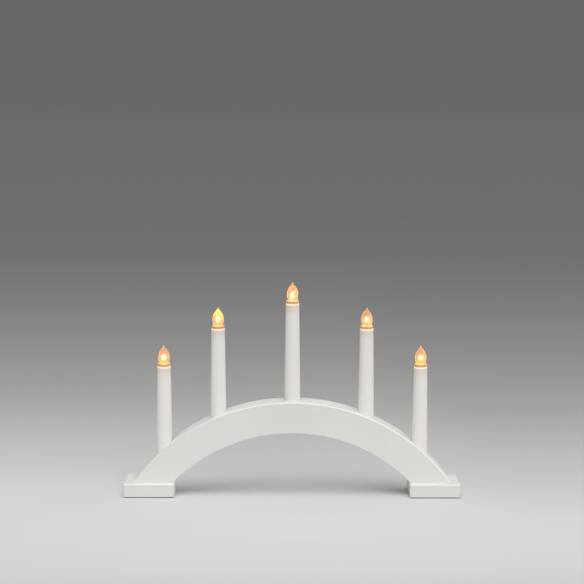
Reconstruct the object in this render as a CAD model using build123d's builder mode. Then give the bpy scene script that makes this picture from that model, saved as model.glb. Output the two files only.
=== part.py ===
from build123d import *
import math
import os

# Candle arch: a painted wooden arch on two block feet, with five electric candles along its top.
# Millimetres, +Z up, +X to the right and +Y to the back as seen from the front.
# The origin lies on the table, under the middle of the arch.

# Feet and their felt pads
overall_width = 400.0
foot_length = 60.0
foot_depth = 48.0
foot_height = 16.0
foot_edge_radius = 1.2
pad_thickness = 0.8
pad_margin = 2.0
pad_corner_radius = 3.0

# Arch: a slab between two concentric arcs, whose inner arc ends at the inner edge of each foot
crown_height = 114.2
arch_band = 38.0
arch_depth = 30.0
arch_edge_radius = 1.4
arch_end_radius = 0.3

# Wiring groove along the inner arc, and the strip that closes it
groove_width = 8.0
groove_depth = 9.0
cover_thickness = 1.6
cover_clearance = 0.1
wire_hole_radius = 4.7

# Cord inlet in the back face, midway between two candles: its distance from the inner arc, and its bush
inlet_setback = 7.4
inlet_bore_radius = 2.5
inlet_wall = 0.8
inlet_flange_radius = 4.8
inlet_flange_thickness = 1.2
inlet_clearance = 0.05

# Foot screws, countersunk from below
screw_spacing = 16.0
screw_setback = 26.0
screw_length = 28.0
screw_radius = 1.75
screw_head_radius = 3.5
screw_head_recess = 0.6
screw_point_length = 4.0
screw_hole_clearance = 0.15

# Candle places: the outer ones from the feet's inner ends, the inner ones as a share of that distance
outer_candle_setback = 12.5
inner_candle_share = 0.577

# How deep each tube sits in the arch on its axis
centre_seat_depth = 8.0
inner_seat_depth = 20.7
outer_seat_depth = 26.6
seat_clearance = 0.1

# Candle tubes: straight where the deepest seat holds them, tapered above
tube_length = 124.4
tube_top_radius = 8.0
tube_base_radius = 9.4
tube_wall = 1.5
tube_rim_radius = 0.4

# Lamp holders: a collar on the tube's rim and a sleeve inside the tube
collar_radius = 7.45
collar_height = 3.5
collar_wall = 1.3
collar_floor = 0.6
collar_lip_radius = 0.4
sleeve_length = 22.0
sleeve_clearance = 0.05
sleeve_wall = 1.2
web_thickness = 2.5
contact_hole_radius = 1.7
lead_hole_clearance = 0.15

# Screw shells of the lamp sockets
shell_radius = 5.35
shell_wall = 0.4
shell_height = 11.2
shell_rim_depth = 0.4
shell_eye_radius = 2.9
shell_clearance = 0.05

# Centre contacts: a foot plate under the web and a tongue up through it
contact_thickness = 0.3
contact_plate_length = 2.0
contact_plate_width = 6.2
contact_tongue_width = 1.8
contact_tongue_reach = 1.0
contact_bend_radius = 0.5
contact_gap = 0.05

# Bulbs: screw cap, insulator, glass, stem and filament
cap_clearance = 0.2
cap_wall = 0.35
cap_height = 10.4
cap_lip_width = 1.05
insulator_height = 1.3
insulator_land = 1.0
insulator_end_radius = 1.9
tip_radius = 1.8
tip_height = 0.45
glass_wall = 0.5
glass_neck_radius = 4.3
glass_neck_length = 7.4
glass_neck_height = 2.4
bulb_radius = 6.75
bulb_widest_height = 10.2
bulb_shoulder_height = 22.6
bulb_shoulder_radius = 1.1
bulb_tip_height = 25.0
bulb_pip_radius = 0.8
stem_radius = 1.4
stem_top_height = 5.6
stem_flare_height = 0.9
bulb_clearance = 0.05
filament_wire_radius = 0.18
filament_spread = 1.7
filament_top_spread = 0.9
filament_height = 9.2
filament_rise = 5.0
filament_pitch = 0.7
filament_bend_radius = 0.45

# Insulated leads between the lamp sockets
lead_radius = 0.9
lead_side_step = 2.6
lead_lane = 2.2
lead_clearance = 0.2
lead_bend_radius = 6.0
lead_groove_bend = 4.0
lead_inlet_step = 2.0

# Values worked out from the sizes above
foot_top = pad_thickness + foot_height
foot_inner_x = overall_width / 2 - foot_length
foot_centre_x = overall_width / 2 - foot_length / 2
outer_candle_x = foot_inner_x + outer_candle_setback
inner_candle_x = inner_candle_share * outer_candle_x
arch_rise = crown_height - foot_top
arch_outer_radius = (foot_inner_x**2 + arch_rise**2 - arch_band**2) / (2 * (arch_rise - arch_band))
arch_inner_radius = arch_outer_radius - arch_band
arch_centre_z = crown_height - arch_outer_radius
groove_floor_radius = arch_inner_radius + groove_depth
seat_radius = tube_base_radius + seat_clearance
sleeve_radius = tube_top_radius - tube_wall - sleeve_clearance
neck_bore_radius = collar_radius - collar_wall
shell_bore_radius = shell_radius + shell_clearance
web_top = -shell_rim_depth - shell_height
web_bottom = web_top - web_thickness
cap_radius = shell_radius - shell_wall - cap_clearance
cap_bore_radius = cap_radius - cap_wall
contact_top = web_top + shell_wall + contact_gap
tip_bottom = contact_top + contact_gap
insulator_bottom = tip_bottom + tip_height
cap_bottom = insulator_bottom + insulator_land
cap_top = cap_bottom + cap_height
glass_bottom = glass_neck_height - glass_neck_length
lead_radius_in_groove = arch_inner_radius + cover_thickness + lead_clearance + lead_radius

os.makedirs("parts", exist_ok=True)


def save(piece, name):
    """Label a finished piece and write it under its own name."""
    piece.label = name
    export_step(piece, f"parts/{name}.step")


def arch_surface(x):
    """Height of the arch's top surface at a distance x from the middle."""
    return arch_centre_z + math.sqrt(arch_outer_radius**2 - x**2)


def upright(x, z):
    """Vertical sketch plane through a candle's axis: first coordinate along X, second up from z."""
    return Plane(origin=(x, 0, z), x_dir=(1, 0, 0), z_dir=(0, -1, 0))


def candle_axis(x):
    """The upright axis of the candle at x."""
    return Axis((x, 0, 0), (0, 0, 1))


def seat_direction(x, floor):
    """Angle from the crown, in radians, of a candle's seat floor seen from the arch's centre."""
    return math.atan2(x, floor - arch_centre_z)


# Each candle: name, place along X, seat floor height
candles = [
    ("left_outer", -outer_candle_x, arch_surface(outer_candle_x) - outer_seat_depth),
    ("left_inner", -inner_candle_x, arch_surface(inner_candle_x) - inner_seat_depth),
    ("centre", 0.0, crown_height - centre_seat_depth),
    ("right_inner", inner_candle_x, arch_surface(inner_candle_x) - inner_seat_depth),
    ("right_outer", outer_candle_x, arch_surface(outer_candle_x) - outer_seat_depth),
]
screw_places = [
    (side * (foot_inner_x + screw_setback), row * screw_spacing / 2)
    for side in (-1, 1)
    for row in (-1, 1)
]
screw_bottom = pad_thickness + screw_head_recess
screw_cone_height = screw_head_radius - screw_radius
inlet_radius = inlet_bore_radius + inlet_wall
inlet_reach = arch_inner_radius + inlet_setback
inlet_turn = (seat_direction(*candles[3][1:]) + seat_direction(*candles[4][1:])) / 2
inlet_x = inlet_reach * math.sin(inlet_turn)
inlet_z = arch_centre_z + inlet_reach * math.cos(inlet_turn)


def band_sketch(inner, outer, bottom):
    """Face between two arcs about the arch's centre, cut off flat at the given height."""
    with BuildSketch(Plane.XZ) as band:
        with Locations((0, arch_centre_z)):
            Circle(outer)
            Circle(inner, mode=Mode.SUBTRACT)
        with Locations((0, bottom)):
            Rectangle(
                2 * outer, outer + arch_rise, align=(Align.CENTER, Align.MIN), mode=Mode.INTERSECT
            )
    return band.sketch


# Arch: rounded ring cut off level with the feet, with five upright seats, a wire hole from each seat into
# the groove, the groove itself, pilot holes for the foot screws and the hole for the cord inlet
with BuildPart() as arch:
    with BuildSketch(Plane.XZ):
        with Locations((0, arch_centre_z)):
            Circle(arch_outer_radius)
            Circle(arch_inner_radius, mode=Mode.SUBTRACT)
    extrude(amount=arch_depth / 2, both=True)
    fillet(arch.edges().filter_by(GeomType.CIRCLE), radius=arch_edge_radius)
    split(bisect_by=Plane.XY.offset(foot_top), keep=Keep.TOP)
    ends = arch.faces().filter_by(Axis.Z).group_by(Axis.Z)[0]
    fillet(ends.edges(), radius=arch_end_radius)
    for _, x, floor in candles:
        with BuildSketch(Plane.XY.offset(floor)):
            with Locations((x, 0)):
                Circle(seat_radius)
        extrude(amount=crown_height - floor + arch_edge_radius, mode=Mode.SUBTRACT)
    for _, x, floor in candles:
        angle = seat_direction(x, floor)
        outward = Vector(math.sin(angle), 0, math.cos(angle))
        mouth = Vector(x, 0, floor) + outward * wire_hole_radius
        length = math.hypot(x, floor - arch_centre_z) + wire_hole_radius - groove_floor_radius
        with BuildSketch(Plane(origin=mouth, x_dir=(0, 1, 0), z_dir=-outward)):
            Circle(wire_hole_radius)
        extrude(amount=length + groove_depth / 2, mode=Mode.SUBTRACT)
    groove = band_sketch(arch_inner_radius - groove_depth, groove_floor_radius, 0)
    extrude(groove, amount=groove_width / 2, both=True, mode=Mode.SUBTRACT)
    with BuildSketch(Plane.XY.offset(foot_top)):
        with Locations(screw_places):
            Circle(screw_radius + screw_hole_clearance)
    extrude(amount=screw_bottom + screw_length - foot_top, mode=Mode.SUBTRACT)
    with BuildSketch(Plane.XZ.offset(-arch_depth / 2)):
        with Locations((inlet_x, inlet_z)):
            Circle(inlet_radius + inlet_clearance)
    extrude(amount=(arch_depth - groove_width / 2) / 2, mode=Mode.SUBTRACT)
save(arch.part, "arch")

# Strip pressed into the mouth of the groove, flush with the inner arc
with BuildPart() as groove_cover:
    extrude(
        band_sketch(arch_inner_radius, arch_inner_radius + cover_thickness, foot_top + cover_clearance),
        amount=groove_width / 2 - cover_clearance,
        both=True,
    )
save(groove_cover.part, "groove_cover")

# Bush in the cord inlet: flange on the back face, sleeve through to the groove
with BuildPart() as cord_inlet_bush:
    with BuildSketch(Plane.XZ.offset(-arch_depth / 2)):
        with Locations((inlet_x, inlet_z)):
            Circle(inlet_flange_radius)
            Circle(inlet_bore_radius, mode=Mode.SUBTRACT)
    extrude(amount=-inlet_flange_thickness)
    with BuildSketch(Plane.XZ.offset(-arch_depth / 2)):
        with Locations((inlet_x, inlet_z)):
            Circle(inlet_radius)
            Circle(inlet_bore_radius, mode=Mode.SUBTRACT)
    extrude(amount=(arch_depth - groove_width) / 2)
    outer_rim = cord_inlet_bush.faces().sort_by(Axis.Y)[-1].outer_wire().edges()
    fillet(outer_rim, radius=inlet_flange_thickness / 2)
save(cord_inlet_bush.part, "cord_inlet_bush")

# Feet: rounded blocks with countersunk screw holes, each on a felt pad
for side, side_name in ((-1, "left"), (1, "right")):
    with BuildPart() as foot:
        with BuildSketch(Plane.XY.offset(pad_thickness)):
            with Locations((side * foot_centre_x, 0)):
                Rectangle(foot_length, foot_depth)
        extrude(amount=foot_height)
        fillet(foot.edges(), radius=foot_edge_radius)
        for x, y in screw_places:
            if x * side > 0:
                with Locations(Plane(origin=(x, y, screw_bottom), z_dir=(0, 0, -1))):
                    CounterSinkHole(
                        radius=screw_radius + screw_hole_clearance,
                        counter_sink_radius=screw_head_radius + screw_hole_clearance,
                        counter_sink_angle=90,
                    )
                with BuildSketch(Plane.XY.offset(pad_thickness)):
                    with Locations((x, y)):
                        Circle(screw_head_radius + screw_hole_clearance)
                extrude(amount=screw_head_recess, mode=Mode.SUBTRACT)
    save(foot.part, f"{side_name}_foot")

    with BuildPart() as pad:
        with BuildSketch(Plane.XY):
            with Locations((side * foot_centre_x, 0)):
                RectangleRounded(
                    foot_length - 2 * pad_margin, foot_depth - 2 * pad_margin, pad_corner_radius
                )
        extrude(amount=pad_thickness)
    save(pad.part, f"{side_name}_foot_pad")

# Foot screws: flat countersunk head, plain shank and point
with BuildPart() as foot_screws:
    for x, y in screw_places:
        with BuildSketch(Plane(origin=(x, y, screw_bottom), x_dir=(1, 0, 0), z_dir=(0, -1, 0))):
            with BuildLine():
                Polyline(
                    (0, 0),
                    (screw_head_radius, 0),
                    (screw_radius, screw_cone_height),
                    (screw_radius, screw_length - screw_point_length),
                    (0, screw_length),
                    close=True,
                )
            make_face()
        revolve(axis=Axis((x, y, 0), (0, 0, 1)))
save(foot_screws.part, "foot_screws")


def candle_tube(x, top):
    """Hollow tube: tapered from the rim down to a straight length that fits the seat."""
    taper_length = tube_length - outer_seat_depth
    with BuildPart() as tube:
        with BuildSketch(upright(x, top)):
            with BuildLine():
                Polyline(
                    (tube_top_radius - tube_wall, 0),
                    (tube_top_radius, 0),
                    (tube_base_radius, -taper_length),
                    (tube_base_radius, -tube_length),
                    (tube_base_radius - tube_wall, -tube_length),
                    (tube_base_radius - tube_wall, -taper_length),
                    close=True,
                )
            make_face()
        revolve(axis=candle_axis(x))
        rim = tube.edges().filter_by(GeomType.CIRCLE).group_by(Axis.Z)[-1].sort_by(SortBy.RADIUS)[-1]
        fillet(rim, radius=tube_rim_radius)
    return tube.part


def lamp_holder(x, top):
    """Moulded holder: collar on the tube's rim, socket for the screw shell, web and lower skirt."""
    skirt_bore_radius = sleeve_radius - sleeve_wall
    with BuildPart() as holder:
        with BuildSketch(upright(x, top)):
            with BuildLine():
                Polyline(
                    (neck_bore_radius, collar_height),
                    (collar_radius, collar_height),
                    (collar_radius, 0),
                    (sleeve_radius, 0),
                    (sleeve_radius, -sleeve_length),
                    (skirt_bore_radius, -sleeve_length),
                    (skirt_bore_radius, web_bottom),
                    (contact_hole_radius, web_bottom),
                    (contact_hole_radius, web_top),
                    (shell_bore_radius, web_top),
                    (shell_bore_radius, collar_floor),
                    (neck_bore_radius, collar_floor),
                    close=True,
                )
            make_face()
        revolve(axis=candle_axis(x))
        lip = holder.edges().filter_by(GeomType.CIRCLE).group_by(Axis.Z)[-1]
        fillet(lip, radius=collar_lip_radius)
        with BuildSketch(Plane.XY.offset(top + web_bottom)):
            with Locations(
                (x - lead_side_step, -lead_lane),
                (x - lead_side_step, lead_lane),
            ):
                Circle(lead_radius + lead_hole_clearance)
        extrude(amount=web_thickness, mode=Mode.SUBTRACT)
    return holder.part


def socket_shell(x, top):
    """Brass sleeve that the bulb's cap screws into, with a flange on the holder's web."""
    with BuildPart() as shell:
        with BuildSketch(upright(x, top)):
            with BuildLine():
                Polyline(
                    (shell_eye_radius, web_top),
                    (shell_radius, web_top),
                    (shell_radius, web_top + shell_height),
                    (shell_radius - shell_wall, web_top + shell_height),
                    (shell_radius - shell_wall, web_top + shell_wall),
                    (shell_eye_radius, web_top + shell_wall),
                    close=True,
                )
            make_face()
        revolve(axis=candle_axis(x))
    return shell.part


def centre_contact(x, top):
    """Spring tongue: foot plate under the web, riser through the web, flat top under the bulb."""
    plate_start = lead_side_step - contact_plate_length / 2
    plate_middle = web_bottom - contact_thickness / 2
    top_middle = contact_top - contact_thickness / 2
    riser_x = contact_tongue_reach / 2
    with BuildPart() as contact:
        with BuildSketch(Plane.XY.offset(top + web_bottom)):
            with Locations((x + lead_side_step, 0)):
                Rectangle(contact_plate_length, contact_plate_width)
        extrude(amount=-contact_thickness)
        with BuildSketch(upright(x, top)):
            with BuildLine():
                FilletPolyline(
                    (plate_start + contact_thickness, plate_middle),
                    (riser_x, plate_middle),
                    (riser_x, top_middle),
                    (-contact_tongue_reach, top_middle),
                    radius=contact_bend_radius,
                )
            trace(line_width=contact_thickness)
        extrude(amount=contact_tongue_width / 2, both=True)
    return contact.part


def bulb_cap(x, top):
    """Brass screw cap: a thin cup with a lip that holds the insulator."""
    with BuildPart() as cap:
        with BuildSketch(upright(x, top)):
            with BuildLine():
                Polyline(
                    (cap_radius - cap_lip_width, cap_bottom),
                    (cap_radius, cap_bottom),
                    (cap_radius, cap_top),
                    (cap_bore_radius, cap_top),
                    (cap_bore_radius, cap_bottom + cap_wall),
                    (cap_radius - cap_lip_width, cap_bottom + cap_wall),
                    close=True,
                )
            make_face()
        revolve(axis=candle_axis(x))
    return cap.part


def bulb_insulator(x, top):
    """Dark glass plug in the cap's end, pierced for the wire to the end contact."""
    wire_hole = filament_wire_radius + bulb_clearance
    plug_bottom = cap_bottom + cap_wall + bulb_clearance
    plug_radius = cap_bore_radius - bulb_clearance
    nose_radius = cap_radius - cap_lip_width - bulb_clearance
    with BuildPart() as insulator:
        with BuildSketch(upright(x, top)):
            with BuildLine():
                Polyline(
                    (wire_hole, insulator_bottom),
                    (insulator_end_radius, insulator_bottom),
                    (nose_radius, cap_bottom),
                    (nose_radius, plug_bottom),
                    (plug_radius, plug_bottom),
                    (plug_radius, plug_bottom + insulator_height),
                    (wire_hole, plug_bottom + insulator_height),
                    close=True,
                )
            make_face()
        revolve(axis=candle_axis(x))
    return insulator.part


# The bulb's glass follows two arcs that meet, upright, at its widest place
lower_run = bulb_widest_height - glass_neck_height
lower_inset = bulb_radius - glass_neck_radius
lower_arc_radius = (lower_run**2 + lower_inset**2) / (2 * lower_inset)
upper_run = bulb_shoulder_height - bulb_widest_height
upper_inset = bulb_radius - bulb_shoulder_radius
upper_arc_radius = (upper_run**2 + upper_inset**2) / (2 * upper_inset)


def glass_radius(height, arc_radius, wall):
    """Radius of the glass at a height on one of its arcs, measured in by the wall."""
    reach = math.sqrt((arc_radius - wall) ** 2 - (height - bulb_widest_height) ** 2)
    return bulb_radius - arc_radius + reach


def glass_height(radius, arc_radius, wall):
    """Distance above or below the widest place at which an arc has the given radius."""
    return math.sqrt((arc_radius - wall) ** 2 - (radius - bulb_radius + arc_radius) ** 2)


def bulb_glass(x, top):
    """Thin teardrop envelope with a sealed pip, open at the neck that sits in the cap."""
    inner_neck = glass_neck_radius - glass_wall
    inner_neck_height = bulb_widest_height - glass_height(inner_neck, lower_arc_radius, glass_wall)
    inner_apex = bulb_widest_height + glass_height(0, upper_arc_radius, glass_wall)
    low_middle = (glass_neck_height + bulb_widest_height) / 2
    high_middle = (bulb_shoulder_height + bulb_widest_height) / 2
    tip_slant = bulb_pip_radius * math.sin(math.pi / 4)
    widest = (bulb_radius, bulb_widest_height)
    inner_widest = (bulb_radius - glass_wall, bulb_widest_height)
    with BuildPart() as glass:
        with BuildSketch(upright(x, top)):
            with BuildLine():
                Line((glass_neck_radius, glass_bottom), (glass_neck_radius, glass_neck_height))
                ThreePointArc(
                    (glass_neck_radius, glass_neck_height),
                    (glass_radius(low_middle, lower_arc_radius, 0), low_middle),
                    widest,
                )
                ThreePointArc(
                    widest,
                    (glass_radius(high_middle, upper_arc_radius, 0), high_middle),
                    (bulb_shoulder_radius, bulb_shoulder_height),
                )
                Line(
                    (bulb_shoulder_radius, bulb_shoulder_height),
                    (bulb_pip_radius, bulb_tip_height - bulb_pip_radius),
                )
                ThreePointArc(
                    (bulb_pip_radius, bulb_tip_height - bulb_pip_radius),
                    (tip_slant, bulb_tip_height - bulb_pip_radius + tip_slant),
                    (0, bulb_tip_height),
                )
                Line((0, bulb_tip_height), (0, inner_apex))
                ThreePointArc(
                    (0, inner_apex),
                    (glass_radius(high_middle, upper_arc_radius, glass_wall), high_middle),
                    inner_widest,
                )
                ThreePointArc(
                    inner_widest,
                    (glass_radius(low_middle, lower_arc_radius, glass_wall), low_middle),
                    (inner_neck, inner_neck_height),
                )
                Line((inner_neck, inner_neck_height), (inner_neck, glass_bottom))
                Line((inner_neck, glass_bottom), (glass_neck_radius, glass_bottom))
            make_face()
        revolve(axis=candle_axis(x))
    return glass.part


def bulb_stem(x, top):
    """Glass stem that closes the neck and carries the filament's two wires."""
    flare_radius = glass_neck_radius - glass_wall - bulb_clearance
    with BuildPart() as stem:
        with BuildSketch(upright(x, top)):
            with BuildLine():
                Polyline(
                    (0, glass_bottom),
                    (flare_radius, glass_bottom),
                    (flare_radius, glass_bottom + stem_flare_height),
                    (stem_radius, glass_bottom + flare_radius),
                    (stem_radius, stem_top_height),
                    (0, stem_top_height),
                    close=True,
                )
            make_face()
        revolve(axis=candle_axis(x))
        with BuildSketch(Plane.XY.offset(top + glass_bottom)):
            with Locations((x - filament_pitch, 0), (x + filament_pitch, 0)):
                Circle(filament_wire_radius + bulb_clearance)
        extrude(amount=stem_top_height - glass_bottom, mode=Mode.SUBTRACT)
    return stem.part


def bulb_filament(x, top):
    """Hairpin filament on two wires: one ends in the end contact, the other at the cap's wall."""
    plug_top = cap_bottom + cap_wall + bulb_clearance + insulator_height
    turn_height = (plug_top + glass_bottom) / 2
    side_end = (bulb_clearance - cap_bore_radius, turn_height)
    with BuildPart() as filament:
        with BuildSketch(Plane.XY.offset(top + tip_bottom)):
            with Locations((x, 0)):
                Circle(tip_radius)
        extrude(amount=tip_height)
        with BuildLine(upright(x, top)) as wire:
            FilletPolyline(
                (0, insulator_bottom),
                (0, turn_height),
                (filament_pitch, turn_height),
                (filament_pitch, stem_top_height + filament_bend_radius),
                (filament_spread, filament_height),
                (filament_top_spread, filament_height + filament_rise),
                (-filament_top_spread, filament_height + filament_rise),
                (-filament_spread, filament_height),
                (-filament_pitch, stem_top_height + filament_bend_radius),
                (-filament_pitch, turn_height),
                side_end,
                radius=filament_bend_radius / 2,
            )
        with BuildSketch(Plane(origin=(x, 0, top + insulator_bottom), z_dir=(0, 0, 1))):
            Circle(filament_wire_radius)
        sweep(path=wire.wires()[0])
    return filament.part


makers = {
    "candle_tube": candle_tube,
    "lamp_holder": lamp_holder,
    "socket_shell": socket_shell,
    "centre_contact": centre_contact,
    "bulb_cap": bulb_cap,
    "bulb_insulator": bulb_insulator,
    "bulb_glass": bulb_glass,
    "bulb_stem": bulb_stem,
    "bulb_filament": bulb_filament,
}
for place, x, floor in candles:
    for piece, make in makers.items():
        save(make(x, floor + tube_length), f"{piece}_{place}")


def groove_point(angle):
    """Point on the leads' arc in the groove, at an angle from the crown in radians."""
    return (
        lead_radius_in_groove * math.sin(angle),
        arch_centre_z + lead_radius_in_groove * math.cos(angle),
    )


def lead_drop(candle, side, heading):
    """Lead from a socket down into the groove.

    side is -1 for the lead on the shell's side and 1 for the contact's side. heading is the way that
    the lead turns along the groove. Gives the points of the drop, the middle of the bend that lays it
    into the groove, and the angle at which that bend ends.
    """
    _, x, floor = candle
    terminal = web_top if side < 0 else web_bottom - contact_thickness
    start = (x + side * lead_side_step, floor + tube_length + terminal)
    angle = seat_direction(x, floor)
    sine, cosine = math.sin(angle), math.cos(angle)
    offset = side * lead_side_step

    def beside_radius(along):
        """Point beside the seat's radius, at a distance along it from the arch's centre."""
        return (along * sine + offset * cosine, arch_centre_z + along * cosine - offset * sine)

    bend_reach = lead_radius_in_groove + lead_groove_bend
    turn = math.asin((offset + heading * lead_groove_bend) / bend_reach)
    points = [start, beside_radius(bend_reach * math.cos(turn))]
    if abs(x) > lead_side_step:
        points.insert(1, beside_radius((x + offset * (1 - cosine)) / sine))
    landing = angle + turn
    bend_x = bend_reach * math.sin(landing)
    bend_z = arch_centre_z + bend_reach * math.cos(landing)
    halfway = landing + heading * (math.pi / 2 - heading * turn) / 2
    middle = (
        bend_x - lead_groove_bend * math.sin(halfway),
        bend_z - lead_groove_bend * math.cos(halfway),
    )
    return points, middle, landing


def lay_drop(points, middle, landing):
    """Draw a lead's drop and the bend that lays it into the groove."""
    if len(points) > 2:
        FilletPolyline(*points, radius=lead_bend_radius)
    else:
        Line(*points)
    ThreePointArc(points[-1], middle, groove_point(landing))


def lead(lane, drops, inlet_end):
    """Insulated lead: one or two drops joined by a run along the groove.

    inlet_end is the angle at which a lead with one drop stops beside the cord inlet.
    """
    angles = [drop[2] for drop in drops]
    finish = angles[1] if len(drops) > 1 else inlet_end
    with BuildPart() as cable:
        with BuildLine(Plane.XZ.offset(-lane)) as route:
            for drop in drops:
                lay_drop(*drop)
            ThreePointArc(
                groove_point(angles[0]), groove_point((angles[0] + finish) / 2), groove_point(finish)
            )
        path = route.wires()[0]
        with BuildSketch(Plane(origin=path @ 0, z_dir=path % 0)):
            Circle(lead_radius)
        sweep(path=path)
    tube_volume = math.pi * lead_radius**2 * path.length
    print(f"lead of {path.length:.1f} mm, volume {cable.part.volume / tube_volume:.4f} of its tube")
    return cable.part


# Leads: four links from contact to shell, then the feed and the return to the cord inlet
for first, second in zip(candles, candles[1:]):
    drops = [lead_drop(first, 1, 1), lead_drop(second, -1, -1)]
    save(lead(-lead_lane, drops, None), f"link_lead_{first[0]}_to_{second[0]}")
inlet_step = lead_inlet_step / lead_radius_in_groove
save(lead(lead_lane, [lead_drop(candles[0], -1, 1)], inlet_turn - inlet_step), "return_lead")
save(lead(lead_lane, [lead_drop(candles[-1], 1, -1)], inlet_turn + inlet_step), "feed_lead")
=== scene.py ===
import math

import bmesh
import bpy
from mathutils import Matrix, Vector


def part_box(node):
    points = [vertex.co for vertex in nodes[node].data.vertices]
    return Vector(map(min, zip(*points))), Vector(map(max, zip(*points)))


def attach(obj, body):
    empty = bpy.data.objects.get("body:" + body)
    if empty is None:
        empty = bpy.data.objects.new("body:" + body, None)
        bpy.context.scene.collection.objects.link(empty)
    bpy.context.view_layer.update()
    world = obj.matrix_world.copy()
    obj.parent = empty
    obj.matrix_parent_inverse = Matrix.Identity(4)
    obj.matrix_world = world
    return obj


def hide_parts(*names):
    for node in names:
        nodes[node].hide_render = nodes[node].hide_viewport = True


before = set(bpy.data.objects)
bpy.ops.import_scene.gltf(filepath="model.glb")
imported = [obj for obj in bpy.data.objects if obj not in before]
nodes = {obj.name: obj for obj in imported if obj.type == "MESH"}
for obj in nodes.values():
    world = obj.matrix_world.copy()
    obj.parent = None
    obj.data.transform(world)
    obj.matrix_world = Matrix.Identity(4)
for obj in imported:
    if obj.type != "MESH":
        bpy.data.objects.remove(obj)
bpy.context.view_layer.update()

MM = 0.001

# The five candles, from left to right, and the feet
PLACES = ("left_outer", "left_inner", "centre", "right_inner", "right_outer")
FEET = ("left_foot", "right_foot")


def top_of(node):
    """Highest Z of a node, in metres."""
    return max(v.co.z for v in nodes[node].data.vertices)


RIM = {place: top_of(f"candle_tube_{place}") for place in PLACES}


def linear(red, green, blue):
    """Scene-linear colour from display values of 0 to 255."""
    def one(c):
        c /= 255
        return c / 12.92 if c <= 0.04045 else ((c + 0.055) / 1.055) ** 2.4

    return (one(red), one(green), one(blue), 1.0)


class Value:
    """Output of a shader node; sums on it add the Math nodes."""

    def __init__(self, skin, socket):
        self.skin, self.socket = skin, socket

    def maths(self, operation, *values):
        return self.skin.node("ShaderNodeMath", {"operation": operation}, *values)

    def __add__(self, other):
        return self.maths("ADD", self, other)

    def __sub__(self, other):
        return self.maths("SUBTRACT", self, other)

    def __rsub__(self, other):
        return self.maths("SUBTRACT", other, self)

    def __mul__(self, other):
        return self.maths("MULTIPLY", self, other)

    def __truediv__(self, other):
        return self.maths("DIVIDE", self, other)

    def __rtruediv__(self, other):
        return self.maths("DIVIDE", other, self)

    def __abs__(self):
        return self.maths("ABSOLUTE", self)

    __radd__ = __add__
    __rmul__ = __mul__

    def root(self):
        return self.maths("SQRT", self)

    def least(self, other):
        return self.maths("MINIMUM", self, other)

    def most(self, other):
        return self.maths("MAXIMUM", self, other)

    def step(self, low, high):
        """Smooth change from 0 at low to 1 at high; low may be the greater."""
        return self.skin.node(
            "ShaderNodeMapRange", {"interpolation_type": "SMOOTHSTEP"}, self, low, high, 0.0, 1.0
        )

    def between(self, first, second):
        """Colour mixed from first at 0 to second at 1."""
        return self.skin.node("ShaderNodeMix", {"data_type": "RGBA"}, self, first, second)

    def beside(self, name):
        """Another output of the same node."""
        return Value(self.skin, self.socket.node.outputs[name])


class Nodes:
    """A node tree and the one method that adds to it."""

    def __init__(self, tree):
        self.tree = tree

    def node(self, kind, settings, *values, **sockets):
        """New node: its settings first, then its sockets in their order or by name."""
        made = self.tree.nodes.new(kind)
        for key, value in settings.items():
            if key == "stops":
                elements = made.color_ramp.elements
                for _ in value[len(elements):]:
                    elements.new(1.0)
                for element, (place, colour) in zip(elements, value):
                    element.position, element.color = place, colour
            else:
                setattr(made, key, value)
        in_use = [socket for socket in made.inputs if socket.enabled]
        for socket, value in zip(in_use, values):
            self.put(socket, value)
        for key, value in sockets.items():
            self.put(made.inputs[key.replace("_", " ")], value)
        return Value(self, next(socket for socket in made.outputs if socket.enabled))

    def put(self, socket, value):
        """Link a value to a socket, or set the socket to a constant."""
        if isinstance(value, Value):
            self.tree.links.new(value.socket, socket)
        else:
            socket.default_value = value


class Skin(Nodes):
    """A material: its shader and its Object coordinates."""

    def __init__(self, name, **constants):
        self.material = bpy.data.materials.new(name)
        self.material.use_nodes = True
        super().__init__(self.material.node_tree)
        self.shader = self.tree.nodes["Principled BSDF"]
        self.place = self.node("ShaderNodeTexCoord", {}).beside("Object")
        self.set(**constants)

    def set(self, **sockets):
        """Feed the shader's sockets, named with underscores for spaces."""
        for key, value in sockets.items():
            self.put(self.shader.inputs[key.replace("_", " ")], value)
        return self

    def noise(self, scale, detail, stretch=None):
        """Cloudy pattern of about 0 to 1; stretch scales the coordinates on each axis."""
        where = self.place
        if stretch:
            where = self.node("ShaderNodeMapping", {}, Vector=where, Scale=stretch)
        return self.node("ShaderNodeTexNoise", {}, Vector=where, Scale=scale, Detail=detail)

    def axes(self):
        """The three coordinates, in metres."""
        x = self.node("ShaderNodeSeparateXYZ", {}, self.place)
        return x, x.beside("Y"), x.beside("Z")

    def above_rim(self, place):
        """Height above the rim of a candle tube, in metres."""
        _, _, z = self.axes()
        return z - RIM[place]

    def bump(self, height, distance, strength):
        """Feed a relief of the given depth to the shader's normal."""
        return self.set(
            Normal=self.node("ShaderNodeBump", {}, Height=height, Distance=distance, Strength=strength)
        )


def dress(skin, *names):
    """Give CAD nodes or new pieces a material."""
    for name in names:
        target = nodes[name] if isinstance(name, str) else name
        target.data.materials.clear()
        target.data.materials.append(skin.material)


def each(piece):
    """The five nodes of one kind of piece."""
    return [f"{piece}_{place}" for place in PLACES]


# How strongly the finishes bend light
PAINT_IOR = 1.4
MOULDED_IOR = 1.48
FROSTED_IOR = 1.25

# White paint: the tones that its faces cloud between, and the paler tone painted on its edges as a
# highlight
ARCH_TONES = (linear(219, 217, 213), linear(223, 221, 217))
# The feet have the arch's paint, made a little darker as painted shade
FOOT_SHADED_TONES = (linear(215, 213, 209), linear(219, 217, 213))
EDGE_HIGHLIGHT_TONE = linear(240, 238, 233)
EDGE_HIGHLIGHT_COVER = 0.6
SATIN = 0.34
WOOD_GRAIN = (0.35, 1.0, 4.0)
STIPPLE_DEPTH = 0.12 * MM
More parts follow.
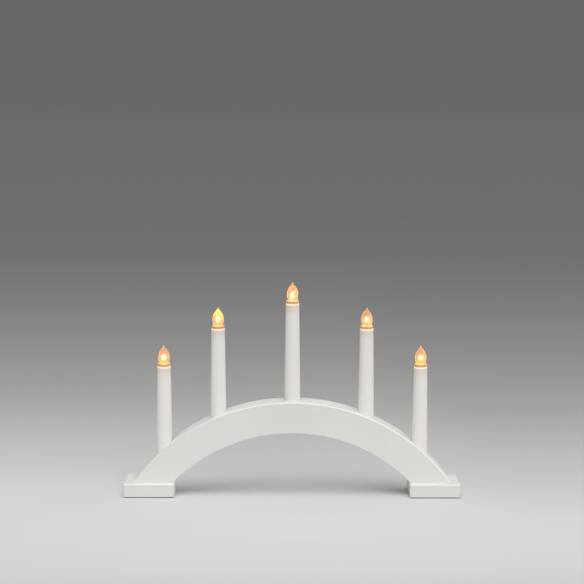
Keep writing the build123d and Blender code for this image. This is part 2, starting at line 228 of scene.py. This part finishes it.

# How far in from their edges the arch and the feet get a painted highlight, and what share of that is
# highlighted fully
ARCH_HIGHLIGHT_BAND = 0.8 * MM
FOOT_HIGHLIGHT_BAND = 0.7 * MM
FULL_HIGHLIGHT_SHARE = 0.35


def white_paint(name, edges, tones):
    """Satin white paint: roller stipple, faint cloudiness, and a painted highlight along its edges,
    where it is also a little rougher.

    edges takes the skin and gives a value that is 1 on the highlighted edges and 0 on the faces.
    """
    skin = Skin(name, IOR=PAINT_IOR)
    edge_highlight = edges(skin)
    cloud = skin.noise(scale=14, detail=3)
    stipple = skin.noise(scale=1100, detail=2)
    grain = skin.noise(scale=60, detail=3, stretch=WOOD_GRAIN)
    faces = (cloud * 0.7 + grain * 0.3).step(0.2, 0.8).between(*tones)
    skin.set(
        # Painted highlight: the edges are mixed towards a paler tone
        Base_Color=(edge_highlight * EDGE_HIGHLIGHT_COVER).between(faces, EDGE_HIGHLIGHT_TONE),
        Roughness=stipple * 0.12 + cloud * 0.08 + SATIN + edge_highlight * 0.1,
    )
    return skin.bump(stipple * 0.75 + grain * 0.25, STIPPLE_DEPTH, strength=0.35)


def near(distance, edge, width):
    """1 where a distance comes up to an edge, fading to 0 over a width before it."""
    return distance.step(edge - width, edge - FULL_HIGHLIGHT_SHARE * width)


def arch_edges(skin):
    """The long edges of the arch's outer arc, from the arch's own box."""
    low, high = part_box("arch")
    rise = high[2] - low[2]
    radius = (high[0] ** 2 + rise**2) / (2 * rise)
    x, y, z = skin.axes()
    up = z - (high[2] - radius)
    reach = (x * x + up * up).root()
    return near(reach, radius, ARCH_HIGHLIGHT_BAND) * near(abs(y), high[1], ARCH_HIGHLIGHT_BAND)


def foot_edges(node):
    """The upper and lower edges of a foot, from its own box."""
    low, high = (Vector(corner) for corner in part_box(node))
    middle, half = (low + high) / 2, (high - low) / 2

    def edges(skin):
        x, y, z = skin.axes()
        end = near(abs(x - middle.x), half.x, FOOT_HIGHLIGHT_BAND)
        side = near(abs(y - middle.y), half.y, FOOT_HIGHLIGHT_BAND)
        return end.most(side) * near(abs(z - middle.z), half.z, FOOT_HIGHLIGHT_BAND)

    return edges


# Colours of the lamps: the tube's own white and the warmer tone of painted lamplight near its rim, the
# collar's amber from a band darkened as painted shade to its lip, and dull wire
TUBE_TONES_TO_LAMPLIT = (linear(231, 229, 224), linear(226, 215, 205))
COLLAR_TONES_FROM_SHADE = (linear(198, 152, 106), linear(232, 205, 178))
WIRE_TONES = ((0.30, 0.28, 0.26, 1), (0.40, 0.38, 0.35, 1))
GLASS_TONE = (1.0, 0.74, 0.48, 1)
GLASS_SHEEN = (1.0, 0.88, 0.68, 1)

# Where light shows on the lamps: heights above the tube's rim at which it starts and is full
RIM_GLOWS = (-2.2 * MM, -0.6 * MM)
TUBE_LAMPLIT_WARMS = (-16 * MM, -3 * MM)
COLLAR_FOOT_GLOWS = (1.0 * MM, 0.0)
COLLAR_LIP_PALES = (2.7 * MM, 3.3 * MM)
GLASS_YELLOWS = (6.2 * MM, 4.2 * MM)
GLASS_DIMS = (9.0 * MM, 19.0 * MM)
PIP_PALES = (21.8 * MM, 23.8 * MM)
WIRE_COOLS = (14.0 * MM, 10.8 * MM)
WIRE_GLOWS_OVER = 1.4 * MM

# Colours of that light, scene-linear
NO_LIGHT = (0.0, 0.0, 0.0, 1)
RIM_LIGHT = (0.44, 0.29, 0.13, 1)
COLLAR_LIGHT = ((0.10, 0.043, 0.016, 1), (0.13, 0.056, 0.020, 1))
COLLAR_LIP_LIGHT = (0.24, 0.13, 0.07, 1)
COLLAR_FOOT_LIGHT = (0.34, 0.17, 0.06, 1)
GLASS_LOW_LIGHT = (0.32, 0.23, 0.09, 1)
GLASS_LIGHT = (0.15, 0.090, 0.046, 1)
GLASS_TOP_LIGHT = (0.12, 0.070, 0.046, 1)
PIP_LIGHT = (0.20, 0.17, 0.10, 1)
WIRE_LIGHT = (1.0, 0.86, 0.72, 1)
WIRE_STRENGTH = 60.0

# One bulb burns yellower than its neighbours, and the middle one glows lower down its wire
OWN_TOP_LIGHT = {"left_inner": (0.26, 0.22, 0.045, 1), "centre": (0.16, 0.098, 0.044, 1)}
WIRE_GLOWS_FROM = 7.4 * MM
OWN_WIRE_GLOWS_FROM = {"centre": 6.4 * MM}


def candle_tube(place):
    """White moulded tube, warmer near its rim with painted lamplight, and a painted glow on its rim
    from the lamp inside.
    """
    skin = Skin(f"candle_tube_at_{place}", IOR=MOULDED_IOR, Emission_Strength=1.0)
    height = skin.above_rim(place)
    cloud = skin.noise(scale=40, detail=2)
    fine = skin.noise(scale=900, detail=2)
    # Painted lamplight: the tube warms towards its rim, with a little random cloudiness
    warm = height.step(*TUBE_LAMPLIT_WARMS) * 0.85 + cloud * 0.15
    skin.set(
        Base_Color=warm.between(*TUBE_TONES_TO_LAMPLIT),
        Roughness=fine * 0.1 + 0.28,
        Emission_Color=height.step(*RIM_GLOWS).between(NO_LIGHT, RIM_LIGHT),
    )
    return skin.bump(fine, distance=0.06 * MM, strength=0.25)


def collar(place):
    """Translucent amber collar with a painted glow from the lamp inside, its band darkened as painted
    shade below a paler lip.
    """
    skin = Skin(f"collar_at_{place}", IOR=MOULDED_IOR, Emission_Strength=1.0)
    height = skin.above_rim(place)
    lip = height.step(*COLLAR_LIP_PALES)
    fine = skin.noise(scale=700, detail=2)
    lit = lip.between(fine.between(*COLLAR_LIGHT), COLLAR_LIP_LIGHT)
    skin.set(
        # The amber is the plastic's own; the band's darker tone is painted shade and the emission is
        # painted lamplight
        Base_Color=lip.between(*COLLAR_TONES_FROM_SHADE),
        Roughness=fine * 0.1 + 0.3,
        Emission_Color=height.step(*COLLAR_FOOT_GLOWS).between(lit, COLLAR_FOOT_LIGHT),
    )
    return skin.bump(fine, distance=0.04 * MM, strength=0.2)


def amber_glass(place):
    """Frosted amber bulb glass: yellow where it leaves the collar, peach above."""
    skin = Skin(
        f"amber_glass_at_{place}",
        IOR=FROSTED_IOR,
        Transmission_Weight=1.0,
        Emission_Strength=1.0,
        Base_Color=GLASS_TONE,
        Sheen_Weight=1.0,
        Sheen_Roughness=0.35,
        Sheen_Tint=GLASS_SHEEN,
    )
    height = skin.above_rim(place)
    fine = skin.noise(scale=500, detail=2)
    top = OWN_TOP_LIGHT.get(place, GLASS_TOP_LIGHT)
    body = height.step(*GLASS_DIMS).between(GLASS_LIGHT, top)
    lit = height.step(*GLASS_YELLOWS).between(body, GLASS_LOW_LIGHT)
    return skin.set(
        Roughness=fine * 0.06 + 0.6,
        Emission_Color=height.step(*PIP_PALES).between(lit, PIP_LIGHT),
    )


def glowing_wire(place):
    """Tungsten wire, white hot between the stem and the top of its loop."""
    skin = Skin(f"glowing_wire_at_{place}", Roughness=0.5, Emission_Strength=WIRE_STRENGTH)
    height = skin.above_rim(place)
    foot = OWN_WIRE_GLOWS_FROM.get(place, WIRE_GLOWS_FROM)
    hot = height.step(foot, foot + WIRE_GLOWS_OVER) * height.step(*WIRE_COOLS)
    fine = skin.noise(scale=900, detail=2)
    return skin.set(
        Base_Color=fine.between(*WIRE_TONES),
        Emission_Color=hot.between(NO_LIGHT, WIRE_LIGHT),
    )


def metal(name, pale, dark, rough, scale):
    """Handled metal, cloudy where it is worn."""
    skin = Skin(name, Metallic=1.0)
    worn = skin.noise(scale, detail=3)
    skin.set(Base_Color=worn.step(0.3, 0.7).between(dark, pale), Roughness=worn * 0.2 + rough)
    return skin.bump(worn, distance=0.02 * MM, strength=0.2)


def plain(name, pale, dark, rough, scale, relief, **constants):
    """Moulded, pressed or drawn material with a fine grain."""
    skin = Skin(name, **constants)
    grain = skin.noise(scale, detail=3)
    skin.set(Base_Color=grain.step(0.25, 0.75).between(dark, pale), Roughness=grain * 0.15 + rough)
    return skin.bump(grain, relief, strength=0.6)


# The felt under the feet: radius of its corners, how far its edges are rounded over, and their steps
FELT_CORNER = 3.0 * MM
FELT_CORNER_STEPS = 8
FELT_EDGE = 0.28 * MM
FELT_EDGE_STEPS = 4
SMOOTH_UNDER = math.radians(40)

# Heights closer than this are level
LEVEL = 0.01 * MM


def choose(piece, kind, wanted):
    """In edit mode, select the edges or faces for which the heights of all corners pass a test."""
    bpy.ops.mesh.select_mode(type=kind)
    bpy.ops.mesh.select_all(action="DESELECT")
    shape = bmesh.from_edit_mesh(piece.data)
    for element in shape.edges if kind == "EDGE" else shape.faces:
        element.select_set(wanted([corner.co.z for corner in element.verts]))
    bmesh.update_edit_mesh(piece.data)


def felt_pad(node):
    """Pad of pressed felt, cut with round corners, its edges rounded over."""
    low, high = (Vector(corner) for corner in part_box(node))
    size, middle = high - low, (low + high) / 2
    bpy.ops.object.select_all(action="DESELECT")
    bpy.ops.mesh.primitive_plane_add(size=1.0)
    pad = bpy.context.object
    pad.name = f"{node}_felt"
    bpy.ops.object.mode_set(mode="EDIT")
    bpy.ops.mesh.select_all(action="SELECT")
    bpy.ops.transform.resize(value=(size.x, size.y, 1.0))
    bpy.ops.transform.translate(value=(middle.x, middle.y, low.z))
    bpy.ops.mesh.bevel(offset=FELT_CORNER, segments=FELT_CORNER_STEPS, affect="VERTICES")
    bpy.ops.mesh.select_all(action="SELECT")
    bpy.ops.mesh.extrude_region_move(TRANSFORM_OT_translate={"value": (0, 0, size.z)})
    choose(pad, "EDGE", lambda heights: max(heights) - min(heights) < LEVEL)
    bpy.ops.mesh.bevel(offset=FELT_EDGE, segments=FELT_EDGE_STEPS, affect="EDGES")
    for side in (low.z, high.z):
        choose(pad, "FACE", lambda heights: all(abs(z - side) < LEVEL for z in heights))
        bpy.ops.mesh.inset(thickness=FELT_CORNER)
    bpy.ops.mesh.select_all(action="SELECT")
    bpy.ops.mesh.normals_make_consistent(inside=False)
    bpy.ops.object.mode_set(mode="OBJECT")
    bpy.ops.object.shade_smooth_by_angle(angle=SMOOTH_UNDER)
    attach(pad, "stand")
    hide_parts(node)
    return pad


# The painted stand on its felt
grey_felt = plain(
    "grey_felt", linear(136, 134, 131), linear(106, 104, 102), rough=0.85, scale=1600, relief=0.3 * MM
)
dress(white_paint("arch_paint", arch_edges, ARCH_TONES), "arch")
for foot in FEET:
    dress(white_paint(f"{foot}_paint", foot_edges(foot), FOOT_SHADED_TONES), foot)
    dress(grey_felt, f"{foot}_pad", felt_pad(f"{foot}_pad"))

# What holds the stand together and closes its groove
zinc_steel = metal("zinc_steel", linear(190, 192, 194), linear(150, 152, 156), rough=0.3, scale=500)
cover_strip = plain(
    "cover_strip", linear(232, 230, 226), linear(222, 220, 216), rough=0.4, scale=500, relief=0.04 * MM
)
dress(zinc_steel, "foot_screws")
dress(cover_strip, "groove_cover", "cord_inlet_bush")

# The wiring and the insides of the lamps
lead_sleeve = plain(
    "lead_sleeve", linear(226, 224, 218), linear(214, 211, 204), rough=0.42, scale=300, relief=0.04 * MM
)
socket_brass = metal("socket_brass", linear(214, 178, 104), linear(176, 140, 74), rough=0.24, scale=400)
black_glass = plain(
    "black_glass", linear(46, 42, 46), linear(26, 24, 28), rough=0.12, scale=200, relief=0.02 * MM
)
clear_stem = plain(
    "clear_stem",
    pale=(1.0, 0.86, 0.66, 1),
    dark=(1.0, 0.80, 0.56, 1),
    rough=0.05,
    scale=200,
    relief=0.01 * MM,
    Transmission_Weight=1.0,
)
dress(lead_sleeve, *[name for name in nodes if "lead_" in name or name.endswith("_lead")])
dress(socket_brass, *each("socket_shell"), *each("centre_contact"), *each("bulb_cap"))
dress(black_glass, *each("bulb_insulator"))
dress(clear_stem, *each("bulb_stem"))

# The lit candles
for place in PLACES:
    dress(candle_tube(place), f"candle_tube_{place}")
    dress(collar(place), f"lamp_holder_{place}")
    dress(amber_glass(place), f"bulb_glass_{place}")
    dress(glowing_wire(place), f"bulb_filament_{place}")


# Painted shade of the floor, by how far it lies from the painted pool of light around the arch, in
# metres
FLOOR_SHADES = (
    (0.0, 204.5),
    (0.12, 200.5),
    (0.41, 176),
    (0.66, 154),
    (1.05, 135),
    (1.6, 119),
    (2.5, 107),
    (4.2, 102),
    (24.0, 98),
)
FLOOR_BLUER = 0.9
FLOOR_SIZE = 80

# How far before the arch's middle the pool of light ends towards the wall and towards the camera;
# on the right, from one width to another, it ends earlier, and sideways it fades slowly
POOL_TO_WALL = 0.12
POOL_TO_CAMERA = 0.16
RIGHT_SIDE = (0.08, 0.30)
RIGHT_EARLIER = 0.085
SIDEWAYS = 0.18


def floor_skin():
    """Floor with a painted pool of light: pale around the arch, fading to painted grey shade behind it,
    a little earlier on its right.
    """
    skin = Skin("studio_floor", Roughness=0.9, Specular_IOR_Level=0.0)
    x, y, _ = skin.axes()
    aside = x * SIDEWAYS
    behind = (y + POOL_TO_WALL + x.step(*RIGHT_SIDE) * RIGHT_EARLIER).most(0.0)
    before = (y + POOL_TO_CAMERA).least(0.0)
    away = (aside * aside + behind * behind + before * before).root()
    farthest = FLOOR_SHADES[-1][0]
    stops = [
        (math.sqrt(reach / farthest), linear(shade, shade, shade + FLOOR_BLUER))
        for reach, shade in FLOOR_SHADES
    ]
    shades = skin.node("ShaderNodeValToRGB", {"stops": stops}, (away / farthest).root())
    return skin.set(Base_Color=shades)


bpy.ops.mesh.primitive_plane_add(size=FLOOR_SIZE)
floor = bpy.context.object
floor.name = "floor"
floor.data.materials.append(floor_skin().material)


# Broad lights: the way from the arch to each, its strength, and its spread in degrees
LIGHTS = {
    "key": ((0.02, -0.33, 1.0), 2.12, 48),
    "front": ((0.40, -0.88, 0.34), 0.80, 50),
    "left": ((-0.75, -0.65, 0.10), 0.20, 40),
    "right": ((1.0, 0.5, 0.05), 0.80, 25),
}
EVEN_LIGHT = 0.393
WALL_GREY = linear(104, 104, 104)


def soft_sun(name, toward, strength, spread):
    """Broad even light from the direction given, softened over a spread in degrees."""
    lamp = bpy.data.lights.new(name, "SUN")
    lamp.energy = strength
    lamp.angle = math.radians(spread)
    source = bpy.data.objects.new(name, lamp)
    bpy.context.scene.collection.objects.link(source)
    source.rotation_euler = Vector(toward).to_track_quat("Z", "Y").to_euler()


for name, light in LIGHTS.items():
    soft_sun(name, *light)

# The world lights the arch evenly; the camera, glass and gloss see the grey behind the floor
world = bpy.data.worlds.new("studio")
bpy.context.scene.world = world
world.use_nodes = True
studio = Nodes(world.node_tree)
ray = studio.node("ShaderNodeLightPath", {})
sees_wall = ray.most(ray.beside("Is Glossy Ray")).most(ray.beside("Is Transmission Ray"))
even_light = studio.node("ShaderNodeBackground", {}, (1.0, 1.0, 1.0, 1.0), EVEN_LIGHT)
wall = studio.node("ShaderNodeBackground", {}, WALL_GREY, 1.0)
studio.put(
    world.node_tree.nodes["World Output"].inputs["Surface"],
    studio.node("ShaderNodeMixShader", {}, sees_wall, even_light, wall),
)

# The camera, fitted to the photograph: place in metres, angles in degrees, lens and film in millimetres
CAMERA_PLACE = (-0.00982, -1.74085, 0.49681)
CAMERA_LOOKS_DOWN = 8.258
CAMERA_TURN = -0.301
CAMERA_ROLL = 0.17
CAMERA_LENS = 91.911
CAMERA_FILM = 36

camera = bpy.data.objects.new("camera", bpy.data.cameras.new("camera"))
bpy.context.scene.collection.objects.link(camera)
camera.location = CAMERA_PLACE
camera.rotation_euler = (math.radians(90 - CAMERA_LOOKS_DOWN), 0, math.radians(CAMERA_TURN))
camera.rotation_euler.rotate_axis("Z", math.radians(CAMERA_ROLL))
camera.data.lens = CAMERA_LENS
camera.data.sensor_width = CAMERA_FILM
bpy.context.scene.camera = camera
bpy.context.scene.view_settings.view_transform = "Standard"
